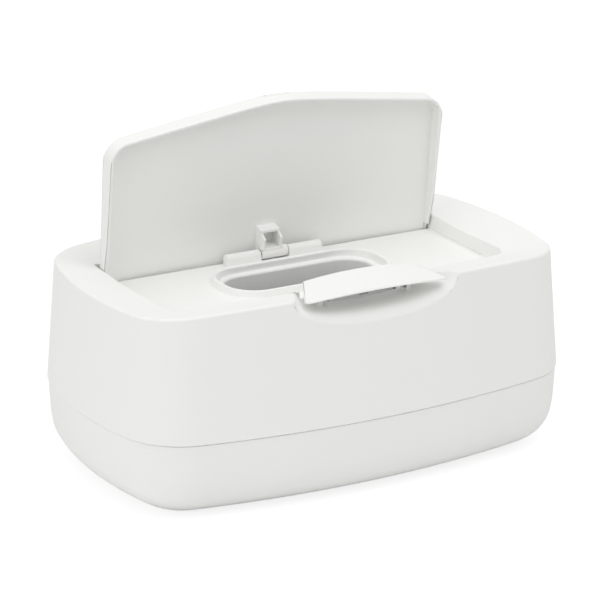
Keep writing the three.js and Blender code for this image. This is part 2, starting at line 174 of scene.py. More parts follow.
class Finishes(bpy.types.PropertyGroup):
    """Colours and edges."""

    plastic: colour("Plastic", "White moulded plastic", (0.886, 0.884, 0.868))
    plastic_shade: colour("Plastic shade", "Slightly deeper tone of the same plastic", (0.868, 0.864, 0.844))
    steel: colour("Steel", "Spring wire and pins", (0.5, 0.51, 0.53))
    floor: colour("Floor", "Pale floor", (0.94, 0.94, 0.94))
    edge: length("Edge", "Radius of the small moulded edges", 0.4 * MM)


class StageSizes(bpy.types.PropertyGroup):
    """Camera and light."""

    azimuth: FloatProperty(name="Azimuth", description="Turn of the camera", default=-29.34)
    elevation: FloatProperty(name="Elevation", description="Height of the camera as an angle", default=18.92)
    roll: FloatProperty(name="Roll", description="Lean of the camera", default=0.12)
    distance: length("Distance", "Camera to the middle of the box", 1613.5 * MM)
    lens: FloatProperty(name="Lens", description="Focal length in millimetres", default=198.36)
    overhead: power("Overhead", "Power of the overhead lamp", 6.4)
    side: power("Side", "Power of the lamp at the left", 5.0)
    front: power("Front", "Power of the lamp at the front", 5.6)
    fill: FloatProperty(name="Fill", description="Level of the light from all round", default=0.5)


# Shapes

def stack(rings):
    """A closed solid whose wall passes through every ring in turn, its ends closed by straight strips."""
    solid = bmesh.new()
    loop = bmesh.ops.create_circle(solid, segments=len(rings[0]), radius=1.0)["verts"]
    for vert, place in zip(loop, rings[0]):
        vert.co = place
    close_end(solid, loop)
    edges = [edge for edge in solid.edges if edge.is_boundary]
    for ring in rings[1:]:
        grown = bmesh.ops.extrude_edge_only(solid, edges=edges)["geom"]
        new = {item for item in grown if isinstance(item, bmesh.types.BMVert)}
        loop = [next(e.other_vert(v) for e in v.link_edges if e.other_vert(v) in new) for v in loop]
        edges = [item for item in grown if isinstance(item, bmesh.types.BMEdge)
                 and item.verts[0] in new and item.verts[1] in new]
        for vert, place in zip(loop, ring):
            vert.co = place
    close_end(solid, loop)
    bmesh.ops.recalc_face_normals(solid, faces=solid.faces[:])
    return solid


def close_end(solid, loop):
    """Fills a ring, then splits the face between the points that mirror each other."""
    count = len(loop)
    faces = {solid.faces.new(loop)}
    for index in range(1, count // 2):
        near, far = loop[index], loop[count - index]
        shared = next((f for f in faces if near in f.verts and far in f.verts), None)
        if shared and len(shared.verts) > 4:
            faces.add(bmesh.utils.face_split(shared, near, far)[0])


def place_solid(name, solid):
    """Puts a solid into the scene as an object."""
    mesh = bpy.data.meshes.new(name)
    solid.to_mesh(mesh)
    solid.free()
    piece = bpy.data.objects.new(name, mesh)
    bpy.context.scene.collection.objects.link(piece)
    return piece


def combine(piece, tools, operation):
    """Joins the tools to a piece or cuts them out of it, and removes them."""
    for tool in tools:
        step = piece.modifiers.new("Step", "BOOLEAN")
        step.operation = operation
        step.solver = "MANIFOLD"
        step.object = tool
    bpy.context.view_layer.update()
    result = piece.evaluated_get(bpy.context.evaluated_depsgraph_get())
    mesh = bpy.data.meshes.new_from_object(result)
    piece.modifiers.clear()
    piece.data = mesh
    for tool in tools:
        bpy.data.objects.remove(tool)
    return piece


def box(low, high):
    """A block between two corners, as a cutter."""
    solid = bmesh.new()
    size = Vector(high) - Vector(low)
    middle = (Vector(high) + Vector(low)) / 2
    matrix = Matrix.Translation(middle) @ Matrix.Diagonal((*size, 1.0))
    bmesh.ops.create_cube(solid, size=1.0, matrix=matrix)
    return place_solid("cutter", solid)


def plate(outline, x_low, x_high):
    """A flat outline in Y and Z, thickened along X."""
    solid = bmesh.new()
    loop = bmesh.ops.create_circle(solid, segments=len(outline), radius=1.0, cap_ends=True)["verts"]
    for vert, (y, z) in zip(loop, outline):
        vert.co = (x_low, y, z)
    grown = bmesh.ops.extrude_face_region(solid, geom=solid.faces[:])["geom"]
    moved = [item for item in grown if isinstance(item, bmesh.types.BMVert)]
    bmesh.ops.translate(solid, verts=moved, vec=(x_high - x_low, 0.0, 0.0))
    bmesh.ops.recalc_face_normals(solid, faces=solid.faces[:])
    return place_solid("plate", solid)


def rod(radius, x_low, x_high, axis, sides=40):
    """A round bar along X."""
    outline = [(axis.y + radius * math.cos(turn), axis.z + radius * math.sin(turn))
               for turn in (2 * math.pi * i / sides for i in range(sides))]
    return plate(outline, x_low, x_high)


def arc_points(radius, start, end, steps, centre=(0.0, 0.0)):
    """Points of an arc in Y and Z, its angles in half turns."""
    return [(centre[0] + radius * math.cos(math.pi * (start + (end - start) * i / steps)),
             centre[1] + radius * math.sin(math.pi * (start + (end - start) * i / steps)))
            for i in range(steps + 1)]


# Plans

def quarter_plan(half_length, half_depth, long_radius, end_radius, corner):
    """A quarter of the body's plan, from the middle of a long side to the middle of an end."""
    long_centre = Vector((0.0, half_depth - long_radius))
    end_centre = Vector((half_length - end_radius, 0.0))
    from_long = long_radius - corner
    from_end = end_radius - corner
    between = end_centre - long_centre
    distance = between.length
    along = (from_long ** 2 - from_end ** 2 + distance ** 2) / (2 * distance)
    aside = math.sqrt(from_long ** 2 - along ** 2)
    unit = between / distance
    centre = long_centre + unit * along + Vector((unit.y, -unit.x)) * aside
    long_end = math.atan2(*(centre - long_centre).yx)
    end_start = math.atan2(*(centre - end_centre).yx)
    points = []
    arcs = (
        (long_centre, long_radius, math.pi / 2, long_end, 14, 0),
        (centre, corner, long_end, end_start, 16, 1),
        (end_centre, end_radius, end_start, 0.0, 10, 1),
    )
    for middle, radius, start, end, steps, first in arcs:
        for i in range(first, steps + 1):
            angle = start + (end - start) * i / steps
            points.append(middle + radius * Vector((math.cos(angle), math.sin(angle))))
    return points


def mirrored(front, back):
    """A ring from two quarters, from the left end along the front to the right end and back."""
    ring = [(-p.x, -p.y) for p in reversed(front)]
    ring += [(p.x, -p.y) for p in front[1:]]
    ring += [(p.x, p.y) for p in reversed(back[:-1])]
    ring += [(-p.x, p.y) for p in back[1:-1]]
    return ring


def body_ring(sizes, grow, height, arched=False):
    """The body's outline, grown sideways, at a level height or along the arch of the top."""
    front, back = (
        quarter_plan(sizes.half_length + grow, sizes.half_depth + grow, radius + grow,
                     sizes.end_radius + grow, corner + grow)
        for radius, corner in ((sizes.front_radius, sizes.front_corner),
                               (sizes.back_radius, sizes.back_corner))
    )
    points = []
    for x, y in mirrored(front, back):
        arch = sizes.arch_front if y < 0 else sizes.arch_back
        rise = arch * (1 - (x / sizes.half_length) ** 2) if arched else 0.0
        points.append(Vector((x, y, height + rise)))
    return points


def slot_ring(half_width, half_depth, corner, grow, height, slot):
    """A rounded rectangle round the slot."""
    width, depth, radius = half_width + grow, half_depth + grow, corner + grow
    turns = [math.pi / 2 * (1 - i / 14) for i in range(15)]
    quarter = [Vector((0.0, depth))]
    quarter += [Vector((width - radius + radius * math.cos(a), depth - radius + radius * math.sin(a)))
                for a in turns]
    quarter.append(Vector((width, 0.0)))
    return [Vector((slot.x + x, slot.y + y, height)) for x, y in mirrored(quarter, quarter)]


def front_edge(x, reach, half_width, corner, lid):
    """The lid's front edge at a place along its width: a shallow vee with round corners."""
    size = abs(x)
    vee = VEE_SLOPE * (math.hypot(size, lid.vee_round) - lid.vee_round)
    past = min(max(size - (half_width - corner), 0.0), corner)
    return -reach + vee + corner - math.sqrt(corner ** 2 - past ** 2)


def stations(half_width, corner):
    """Places along the lid's width, close together at its corners and its point."""
    straight = half_width - corner
    half = [straight * i / 16 for i in range(16)]
    half += [straight + corner * math.sin(math.pi / 2 * i / 14) for i in range(15)]
    return [-x for x in reversed(half[1:])] + half


def along_width(places, section):
    """A solid skinned through sections that stand one after another along X."""
    return stack([[Vector((x, y, z)) for y, z in section(x)] for x in places])


# Base tray

def base_grow(body, height):
    """How far the base stands out past the top edge at a height."""
    down = 1 - height / body.seam
    return body.flare - body.step - body.taper * down - body.foot_inset * down ** FOOT_POWER


def base_tray(body):
    """The lower shell: a round foot, straight walls and a rim inside the seam."""
    gap = 0.3 * MM
    levels = [(body.seam - gap) * (i / 22) ** 1.9 for i in range(23)]
    tray = place_solid("base_tray_shell", stack([body_ring(body, base_grow(body, z), z) for z in levels]))
    rim_out = body.flare - body.wall - gap
    rim = stack([body_ring(body, rim_out, body.seam - 3 * MM),
                 body_ring(body, rim_out - 0.4 * MM, body.seam + 5 * MM)])
    inner_levels = [2.6 * MM + (body.seam - 8.6 * MM) * (i / 14) ** 1.9 for i in range(15)]
    inner = [body_ring(body, base_grow(body, z) - body.wall, z) for z in inner_levels]
    inner.append(body_ring(body, rim_out - 1.6 * MM, body.seam - 4 * MM))
    inner.append(body_ring(body, rim_out - 2 * MM, body.seam + 6 * MM))
    ring_in = base_grow(body, 0.0) - 8 * MM
    under = stack([body_ring(body, ring_in, -1 * MM), body_ring(body, ring_in - 1 * MM, 1.2 * MM)])
    combine(tray, [place_solid("rim", rim)], "UNION")
    return combine(tray, [place_solid("inside", stack(inner)), place_solid("underside", under)], "DIFFERENCE")


# Upper housing

def recess(lid, grow, floor):
    """Space above the deck that the closed lid fills."""
    half_width = lid.half_width + lid.clearance + grow
    corner = lid.corner + 1 * MM + grow
    back = lid.recess_back + grow

    def section(x):
        front = LID_AXIS.y + front_edge(x, lid.reach + lid.clearance + grow, half_width, corner, lid)
        return [(front, floor), (back, floor), (back, ABOVE), (front, ABOVE)]

    return place_solid("recess", along_width(stations(half_width, corner), section))


def trough(lid, grow):
    """Channel behind the hinge that the lid's tail turns down into."""
    half_width = lid.half_width + lid.clearance + grow
    front, floor = 36.4 * MM, 84.5 * MM
    return box((-half_width, front - grow, floor - grow), (half_width, lid.recess_back + grow, ABOVE))


def scoop(paddle, grow):
    """Hollow under the paddle for a fingertip: a wide U that opens in the front wall."""
    shoulder, bluntness, steps = 104 * MM, 2 / 2.3, 36
    bow_start, bow_span, back_limit = -57.0, 14.0, -51.0
    profile = (
        (-9.5, 0.0, -50.6), (-6.5, 0.0, -57.0), (-4.4, 0.0, -63.0), (-3.6, -0.1, -65.2),
        (-2.9, -0.4, -67.0), (-2.1, -1.0, -68.6), (-1.1, -1.9, -70.0), (0.0, -2.9, -71.0),
        (1.2, -4.3, -71.8), (2.2, -5.8, -72.3), (3.2, -7.6, -72.8), (4.4, -9.8, -74.5),
        (6.0, -12.0, -79.0),
    )
    rings = []
    for wider, lower, y in profile:
        half = paddle.scoop_half + wider * MM + grow
        floor = paddle.scoop_floor + lower * MM - grow
        bow = min(max((bow_start - y) / bow_span, 0.0), 1.0) / (2 * FRONT_RADIUS)
        line = y * MM + (grow if y > back_limit else 0.0)
        ring = []
        for i in range(steps + 1):
            angle = math.pi * (1 + i / steps)
            x = half * math.copysign(abs(math.cos(angle)) ** bluntness, math.cos(angle))
            z = shoulder - (shoulder - floor) * abs(math.sin(angle)) ** bluntness
            ring.append(Vector((x, line + bow * x * x, z)))
        across = [half * (1 - 2 * i / steps) for i in range(1, steps)]
        ring += [Vector((x, line + bow * x * x, ABOVE)) for x in across]
        rings.append(ring)
    return place_solid("scoop", stack(rings))


def housing_outside(body):
    """The outer form of the upper shell, its top edge rounded."""
    rings = [body_ring(body, body.flare, body.seam)]
    slope = body.flare / (body.end_height - body.seam)
    start = body.end_height - body.top_round
    for i in range(7):
        turn = math.pi / 2 * i / 6
        grow = -body.top_round * (1 - math.cos(turn)) + slope * body.top_round * (1 - i / 6)
        rings.append(body_ring(body, grow, start + body.top_round * math.sin(turn), True))
    for share in (0.33, 0.66, 1.0):
        grow = -body.top_round - share * (body.dish_width - body.top_round)
        rings.append(body_ring(body, grow, body.end_height - share * body.dish, True))
    return place_solid("upper_shell", stack(rings))


def housing_cavity(body):
    """The space inside the upper shell."""
    return place_solid("cavity", stack([
        body_ring(body, body.flare - body.wall + 0.1 * MM, body.seam - 1 * MM),
        body_ring(body, -body.wall, body.end_height - body.wall - 1 * MM, True),
        body_ring(body, -body.dish_width, body.end_height - body.dish - body.wall, True),
    ]))


def collar_ring(slot, grow, height):
    """The collar's outline, grown sideways."""
    return slot_ring(slot.collar_width, slot.collar_depth, slot.collar_corner, grow, height, slot)


def lip_ring(slot, grow, height):
    """The slot's outline, grown sideways."""
    return slot_ring(slot.half_width, slot.half_depth, slot.corner, grow, height, slot)


def collar(slot, lid):
    """Raised rim round the slot, round on top."""
    rings = [collar_ring(slot, 1.8 * MM, lid.deck - 2 * MM), collar_ring(slot, 0.9 * MM, lid.deck + 0.1 * MM)]
    radius = 0.75 * MM
    for i in range(6):
        turn = math.pi / 2 * i / 5
        grow, drop = -radius * (1 - math.cos(turn)), radius * (1 - math.sin(turn))
        rings.append(collar_ring(slot, grow, slot.collar_top - drop))
    return place_solid("collar", stack(rings))


def funnel(slot):
    """The way through the collar: a steep wall down to a round lip, then down inside the skirt."""
    lip = ((1.0, -18.0), (0.0, -1.5), (0.1, -1.0), (0.4, -0.5),
           (0.9, -0.15), (1.5, 0.0), (2.1, 0.1), (2.4, 0.4))
    rings = [lip_ring(slot, grow * MM, slot.ledge + rise * MM) for grow, rise in lip]
    rim = ((-2.1, -0.9), (-1.9, -0.5), (-1.5, -0.15), (-1.0, 0.0), (-1.0, 2.0))
    rings += [collar_ring(slot, grow * MM, slot.collar_top + rise * MM) for grow, rise in rim]
    return place_solid("funnel", stack(rings))


def skirt(slot):
    """Wall that hangs from the deck round the slot and guides the wipes up."""
    out, drop = 2.1 * MM, 14 * MM
    return place_solid("skirt", stack([lip_ring(slot, out, slot.ledge - drop),
                                       lip_ring(slot, out, slot.ledge - 1 * MM)]))


def hinge_boss(side, lid):
    """Barrel on the deck that carries one half of the lid's pin."""
    foot = lid.deck - 1 * MM
    outline = [(LID_AXIS.y - BARREL_RADIUS - 0.6 * MM, foot), (LID_AXIS.y + BARREL_RADIUS, foot)]
    outline += arc_points(BARREL_RADIUS, 0.0, 1.0, 18, (LID_AXIS.y, LID_AXIS.z - 0.5 * MM))
    ends = sorted((side * BARREL_INNER, side * BARREL_OUTER))
    return plate(outline, *ends)


def pivot_boss(side, paddle):
    """Post on the scoop's floor that carries one end of the paddle's pin."""
    x = side * POST_X
    foot = paddle.scoop_floor - 1 * MM
    outline = [(PADDLE_AXIS.y - 2.4 * MM, foot), (PADDLE_AXIS.y + 3.4 * MM, foot)]
    outline += arc_points(2.2 * MM, 0.0, 1.0, 16, (PADDLE_AXIS.y, PADDLE_AXIS.z))
    return plate(outline, x - 1.3 * MM, x + 1.3 * MM)


def upper_housing(body, lid, slot, paddle):
    """The upper shell with its recess, collar, scoop and hinge barrels."""
    cavity = housing_cavity(body)
    kept = [recess(lid, body.wall, lid.deck - body.wall), trough(lid, body.wall), scoop(paddle, body.wall)]
    combine(cavity, kept, "DIFFERENCE")
    shell = combine(housing_outside(body), [cavity], "DIFFERENCE")
    catch_half, catch_floor = 33 * MM, 96 * MM
    catch = box((-catch_half, paddle.scoop_back - 1 * MM, catch_floor),
                (catch_half, LID_AXIS.y - lid.reach + 2 * MM, ABOVE))
    combine(shell, [recess(lid, 0.0, lid.deck), trough(lid, 0.0), scoop(paddle, 0.0), catch], "DIFFERENCE")
    posts = [hinge_boss(side, lid) for side in (-1, 1)] + [pivot_boss(side, paddle) for side in (-1, 1)]
    combine(shell, [collar(slot, lid), skirt(slot), *posts], "UNION")
    bores = [rod(BORE_RADIUS, LID_PIN_LOW.x - 0.3 * MM, LID_PIN_HIGH.x + 0.3 * MM, LID_AXIS),
             rod(BORE_RADIUS, PADDLE_PIN_LOW.x - 0.3 * MM, PADDLE_PIN_HIGH.x + 0.3 * MM, PADDLE_AXIS)]
    return combine(shell, [funnel(slot), *bores], "DIFFERENCE")


# Lid

def lid_outside(lid):
    """The lid's outer form about its axis, drawn closed."""
    def section(x):
        front = front_edge(x, lid.reach, lid.half_width, lid.corner, lid)
        top = lid.top + lid.arch * (1 - (x / lid.half_width) ** 2)
        under = top - lid.wall
        ending = 0.8 * MM
        points = [(front + 0.5 * MM, -2 * MM), (-16 * MM, -0.1 * MM), (ending, 2.6 * MM), (ending, under),
                  (lid.tail - 0.4 * MM, under), (lid.tail, under + 0.4 * MM), (lid.tail, top - 0.6 * MM),
                  (lid.tail - 0.6 * MM, top)]
        points += arc_points(1.4 * MM, 0.5, 1.0, 5, (front + 1.4 * MM, top - 1.4 * MM))
        return points

    return place_solid("lid_shell", along_width(stations(lid.half_width, lid.corner), section))


def lid_inside(lid):
    """The space under the lid's plate, between its skirts."""
    half_width, corner = lid.half_width - lid.wall, lid.corner - lid.wall

    def section(x):
        front = front_edge(x, lid.reach - lid.wall, half_width, corner, lid)
        top = lid.top + lid.arch * (1 - (x / lid.half_width) ** 2) - lid.wall
        return [(front, -20 * MM), (20 * MM, -20 * MM), (20 * MM, top), *arc_points(
            0.7 * MM, 0.5, 1.0, 4, (front + 0.7 * MM, top - 0.7 * MM))]

    return place_solid("lid_space", along_width(stations(half_width, corner), section))


def hinge_arm(lid):
    """A knuckle on the pin with the spring inside, and two cheeks joined by a plate at their far end."""
    face = lid.top + lid.arch - lid.wall + 0.3 * MM
    rows = ((-12.4, None), (-11.8, 0.6), (-10.0, 0.3), (-8.1, -2.7))
    outline = [(y * MM, face if z is None else z * MM) for y, z in rows]
    outline += arc_points(KNUCKLE_RADIUS, 1.3, 2.0, 12)
    outline.append((KNUCKLE_RADIUS, face))
    hollow = [(-11.1 * MM, 20 * MM), (-11.1 * MM, face), (-10.4 * MM, 1.5 * MM), (-9.7 * MM, -6 * MM),
              (-3.2 * MM, -6 * MM), (-3.2 * MM, 20 * MM)]
    arm = combine(plate(outline, -6.8 * MM, 3.8 * MM), [plate(hollow, -5.5 * MM, 2.5 * MM)], "DIFFERENCE")
    return combine(arm, [rod(KNUCKLE_RADIUS, -7.3 * MM, 7.3 * MM, Vector())], "UNION")


def ejector_ring(x, y, lid):
    """Faint round mark that a moulding pin leaves on the open lid's inner face."""
    face = lid.top + lid.arch * (1 - (x / lid.half_width) ** 2) - lid.wall
    solid = bmesh.new()
    section = ((3.3, -0.06), (4.2, 0.1), (2.4, 0.1))
    corners = [solid.verts.new((x + out * MM, y, face + rise * MM)) for out, rise in section]
    sides = [solid.edges.new((corners[i - 1], corners[i])) for i in range(3)]
    bmesh.ops.spin(solid, geom=corners + sides, cent=(x, y, 0.0), axis=(0.0, 0.0, 1.0),
                   angle=2 * math.pi, steps=48, use_merge=True)
    bmesh.ops.recalc_face_normals(solid, faces=solid.faces[:])
    for side in solid.faces:
        side.smooth = True
    return stand_open(place_solid("ejector_ring", solid))


def catch_nib(lid):
    """Small lip on the front skirt that the paddle holds down."""
    front = -lid.reach
    lip = front - 0.7 * MM
    outline = [(front + 1 * MM, 3.6 * MM), (front + 1 * MM, 6.2 * MM), (front - 0.2 * MM, 6.2 * MM),
               (lip, 5.7 * MM), (lip, 4.6 * MM)]
    return plate(outline, -6.5 * MM, 6.5 * MM)


def stand_open(piece):
    """Moves a part of the lid that was made closed about its axis to where the open lid has it."""
    piece.data.transform(Matrix.Translation(LID_AXIS) @ Matrix.Rotation(-LID_OPEN, 4, "X"))
    return piece


def open_lid(lid):
    """The lid, made closed about its axis and then stood open."""
    shell = combine(lid_outside(lid), [lid_inside(lid)], "DIFFERENCE")
    combine(shell, [hinge_arm(lid), catch_nib(lid)], "UNION")
    pin_bore = rod(BORE_RADIUS, -9 * MM, 9 * MM, Vector())
    spring_bore = rod(2.45 * MM, -3.4 * MM, 3.4 * MM, Vector())
    bores = [pin_bore, spring_bore]
    return stand_open(combine(shell, bores, "DIFFERENCE"))


# Paddle

def paddle_plate(paddle):
    """A tapering plate, highest along its back edge, with a thin front edge."""
    rings = []
    for i in range(41):
        u = math.sin(math.pi / 2 * (i / 20 - 1))
        crown = paddle.arch * (1 - u * u)
        past = max(abs(u) - 0.93, 0.0) / 0.07
        front_y = paddle.front_y + paddle.bow * u * u + 2.2 * MM * (1 - math.sqrt(1 - past * past))
        outline = []
        for share in (0.0, 0.12, 0.25, 0.5, 0.75, 1.0):
            half = paddle.front_half + share * (paddle.back_half - paddle.front_half)
            y = front_y + share * (paddle.back_y - front_y)
            top = paddle.front_top + share * (paddle.back_top - paddle.front_top) + crown
            top += 0.5 * MM * (1 - (2 * share - 1) ** 2)
            thick = 0.95 * MM + math.sqrt(share) * (paddle.thickness - 0.95 * MM)
            outline.append((half * u, y, top, thick))
        under = [Vector((x, y, top - thick)) for x, y, top, thick in outline]
        over = [Vector((x, y, top)) for x, y, top, _ in reversed(outline)]
        rings.append(under + over)
    return place_solid("push_paddle_plate", stack(rings))


def paddle_lug(side):
    """Ear under the paddle that turns on its pin."""
    y, z = PADDLE_AXIS.y, PADDLE_AXIS.z
    outline = [(y + 4 * MM, 103.4 * MM), (y - 3.4 * MM, 102.6 * MM)]
    outline += arc_points(2.1 * MM, 1.0, 2.0, 16, (y, z))
    x = side * LUG_X
    return plate(outline, x - 1.2 * MM, x + 1.2 * MM)


def push_paddle(paddle):
    """The plate that opens the lid when its front is pressed, with its two ears."""
    whole = combine(paddle_plate(paddle), [paddle_lug(-1), paddle_lug(1)], "UNION")
    return combine(whole, [rod(BORE_RADIUS, -30 * MM, 30 * MM, PADDLE_AXIS)], "DIFFERENCE")


# Pins and springs

def pin(name, low, high, axis):
    """A steel rod along X with chamfered ends."""
    radius = (high.z - low.z) / 2
    piece = rod(radius, low.x, high.x, axis, 32)
    piece.name = name
    solid = bmesh.new()
    solid.from_mesh(piece.data)
    rims = [edge for edge in solid.edges if edge.calc_face_angle(0.0) > 1.0]
    bmesh.ops.bevel(solid, geom=rims, offset=0.25 * MM, affect="EDGES", segments=2, profile=0.5, material=-1)
    solid.to_mesh(piece.data)
    solid.free()
    return piece


def spring(name, axis, wire, radius, turns, spread, leg):
    """A wire coil round an axis along X with a straight leg at each end."""
    solid = bmesh.new()
    start = axis + Vector((-spread / 2, radius, 0.0))
    spot = Matrix.Translation(start - Vector((0.0, 0.0, leg)))
    bmesh.ops.create_circle(solid, cap_ends=True, segments=12, radius=wire, matrix=spot)
    face = solid.faces[:]
    grown = bmesh.ops.extrude_face_region(solid, geom=face)["geom"]
    moved = [item for item in grown if isinstance(item, bmesh.types.BMVert)]
    bmesh.ops.translate(solid, verts=moved, vec=(0.0, 0.0, leg))
    end = [item for item in grown if isinstance(item, bmesh.types.BMFace)]
    steps = round(28 * turns)
    turn = 2 * math.pi * turns
    wound = bmesh.ops.spin(solid, geom=end, cent=axis, axis=(1.0, 0.0, 0.0), angle=turn,
                           steps=steps, dvec=(spread / steps, 0.0, 0.0))["geom_last"]
    last = [item for item in wound if isinstance(item, bmesh.types.BMFace)]
    away = Vector((0.0, -math.sin(turn), math.cos(turn))) * leg
    tail = bmesh.ops.extrude_face_region(solid, geom=last)["geom"]
    moved = [item for item in tail if isinstance(item, bmesh.types.BMVert)]
    bmesh.ops.translate(solid, verts=moved, vec=away)
    bmesh.ops.recalc_face_normals(solid, faces=solid.faces[:])
    return place_solid(name, solid)


# Finish

def soften(piece, finish, name, marks=()):
    """Cleans a moulding, rounds its small edges, adds its marks and shades its broad faces smoothly."""
    solid = bmesh.new()
    solid.from_mesh(piece.data)
    bmesh.ops.remove_doubles(solid, verts=solid.verts[:], dist=MERGE)
    bmesh.ops.dissolve_degenerate(solid, edges=solid.edges[:], dist=MERGE)
    for face in solid.faces:
        face.smooth = True
    solid.to_mesh(piece.data)
    solid.free()
    piece.name = name
    piece.data.name = name
    bevel = piece.modifiers.new("Moulded edges", "BEVEL")
    bevel.width = finish.edge
    bevel.segments = 3
    bevel.limit_method = "ANGLE"
    bevel.angle_limit = math.radians(28)
    bevel.use_clamp_overlap = False
    bevel.miter_outer = "MITER_ARC"
    if marks:
        combine(piece, marks, "UNION")
    even = piece.modifiers.new("Even shading", "WEIGHTED_NORMAL")
    even.keep_sharp = True
    return piece


def nodes_of(material):
    """The node tree of a new material and its shader."""
    material.use_nodes = True
    return material.node_tree, material.node_tree.nodes["Principled BSDF"]


def noise(tree, coordinates, scale, detail):
    """A noise texture on the given coordinates."""
    texture = tree.nodes.new("ShaderNodeTexNoise")
    texture.inputs["Scale"].default_value = scale
    texture.inputs["Detail"].default_value = detail
    tree.links.new(coordinates, texture.inputs["Vector"])
    return texture.outputs["Fac"]


def map_range(tree, value, low, high):
    """Spreads a value of about 0.3 to 0.7 over a range."""
    node = tree.nodes.new("ShaderNodeMapRange")
    for socket, number in (("From Min", 0.3), ("From Max", 0.7), ("To Min", low), ("To Max", high)):
        node.inputs[socket].default_value = number
    tree.links.new(value, node.inputs["Value"])
    return node.outputs["Result"]


def white_plastic(finish):
    """Satin moulded plastic: a fine grain, slow changes of gloss and a trace of tone."""
    material = bpy.data.materials.new("white_plastic")
    tree, shader = nodes_of(material)
    place = tree.nodes.new("ShaderNodeTexCoord").outputs["Object"]
    broad = noise(tree, place, 14.0, 3.0)
    grain = noise(tree, place, 1900.0, 4.0)
    flow = noise(tree, place, 90.0, 2.0)
    tone = tree.nodes.new("ShaderNodeMix")
    tone.data_type = "RGBA"
    tone.inputs[6].default_value = (*finish.plastic, 1.0)
    tone.inputs[7].default_value = (*finish.plastic_shade, 1.0)
    tree.links.new(map_range(tree, broad, 0.0, 1.0), tone.inputs[0])
    tree.links.new(tone.outputs[2], shader.inputs["Base Color"])
    tree.links.new(map_range(tree, flow, 0.36, 0.46), shader.inputs["Roughness"])
    shader.inputs["IOR"].default_value = 1.46
    shader.inputs["Specular IOR Level"].default_value = 0.42
    shader.inputs["Subsurface Weight"].default_value = 0.3
    shader.inputs["Subsurface Radius"].default_value = (1.0, 1.0, 0.95)
    shader.inputs["Subsurface Scale"].default_value = 6 * MM
    bump = tree.nodes.new("ShaderNodeBump")
    bump.inputs["Strength"].default_value = 0.09
    bump.inputs["Distance"].default_value = 0.05 * MM
    tree.links.new(grain, bump.inputs["Height"])
    tree.links.new(bump.outputs["Normal"], shader.inputs["Normal"])
    return material


def drawn_steel(finish):
    """Drawn wire and rod: metal with fine marks along its length."""
    material = bpy.data.materials.new("drawn_steel")
    tree, shader = nodes_of(material)
    place = tree.nodes.new("ShaderNodeTexCoord").outputs["Object"]
    stretch = tree.nodes.new("ShaderNodeMapping")
    stretch.inputs["Scale"].default_value = (0.12, 1.0, 1.0)
    tree.links.new(place, stretch.inputs["Vector"])
    marks = noise(tree, stretch.outputs["Vector"], 2600.0, 3.0)
    shader.inputs["Base Color"].default_value = (*finish.steel, 1.0)
    shader.inputs["Metallic"].default_value = 1.0
    tree.links.new(map_range(tree, marks, 0.24, 0.42), shader.inputs["Roughness"])
    bump = tree.nodes.new("ShaderNodeBump")
    bump.inputs["Strength"].default_value = 0.15
    bump.inputs["Distance"].default_value = 0.02 * MM
    tree.links.new(marks, bump.inputs["Height"])
    tree.links.new(bump.outputs["Normal"], shader.inputs["Normal"])
    return material


def finished(name, make):
    """The material of that name, made the first time it is asked for."""
    return bpy.data.materials.get(name) or make(bpy.context.scene.box_finishes)


def dress(piece, material, body, node):
    """Gives a finished piece its material, hangs it on the body that it moves with and hides the CAD part
    that it replaces.
    """
    piece.data.materials.clear()
    piece.data.materials.append(material)
    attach(piece, body)
    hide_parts(node)


def steel_piece(piece, node):
    """Finishes a pin or spring that stays with the upper housing."""
    for face in piece.data.polygons:
        face.use_smooth = len(face.vertices) <= 4
    dress(piece, finished("drawn_steel", drawn_steel), "top", node)


# Stage

def floor_material(finish):
    """Pale floor that the camera sees as white apart from the object's shadow."""
    material = bpy.data.materials.new("pale_floor")
    tree, shader = nodes_of(material)
    tree.nodes.remove(shader)
    matt = tree.nodes.new("ShaderNodeBsdfDiffuse")
    matt.inputs["Color"].default_value = (*finish.floor, 1.0)
    glow = tree.nodes.new("ShaderNodeEmission")
    dim = tree.nodes.new("ShaderNodeBsdfDiffuse")
    dim.inputs["Color"].default_value = (0.3, 0.3, 0.3, 1.0)
    glow.inputs["Strength"].default_value = 0.8
    both = tree.nodes.new("ShaderNodeAddShader")
    tree.links.new(glow.outputs[0], both.inputs[0])
    tree.links.new(dim.outputs[0], both.inputs[1])
    ray = tree.nodes.new("ShaderNodeLightPath")
    pick = tree.nodes.new("ShaderNodeMixShader")
    tree.links.new(ray.outputs["Is Camera Ray"], pick.inputs[0])
    tree.links.new(matt.outputs[0], pick.inputs[1])
    tree.links.new(both.outputs[0], pick.inputs[2])
    tree.links.new(pick.outputs[0], tree.nodes["Material Output"].inputs["Surface"])
    return material


def white_surround(level):
    """White to the camera and in reflections, and a plain level of light for the rest."""
    world = bpy.data.worlds.new("surround")
    bpy.context.scene.world = world
    world.use_nodes = True
    tree = world.node_tree
    ray = tree.nodes.new("ShaderNodeLightPath")
    seen = tree.nodes.new("ShaderNodeMath")
    seen.operation = "MAXIMUM"
    either = tree.nodes.new("ShaderNodeMath")
    either.operation = "MAXIMUM"
    tree.links.new(ray.outputs["Is Camera Ray"], seen.inputs[0])
    tree.links.new(ray.outputs["Is Transmission Ray"], seen.inputs[1])
    tree.links.new(seen.outputs[0], either.inputs[0])
    tree.links.new(ray.outputs["Is Glossy Ray"], either.inputs[1])
    strength = tree.nodes.new("ShaderNodeMapRange")
    strength.inputs["To Min"].default_value = level
    strength.inputs["To Max"].default_value = 1.0
    tree.links.new(either.outputs[0], strength.inputs["Value"])
    back = tree.nodes["Background"]
    back.inputs["Color"].default_value = (1.0, 1.0, 1.0, 1.0)
    tree.links.new(strength.outputs["Result"], back.inputs["Strength"])


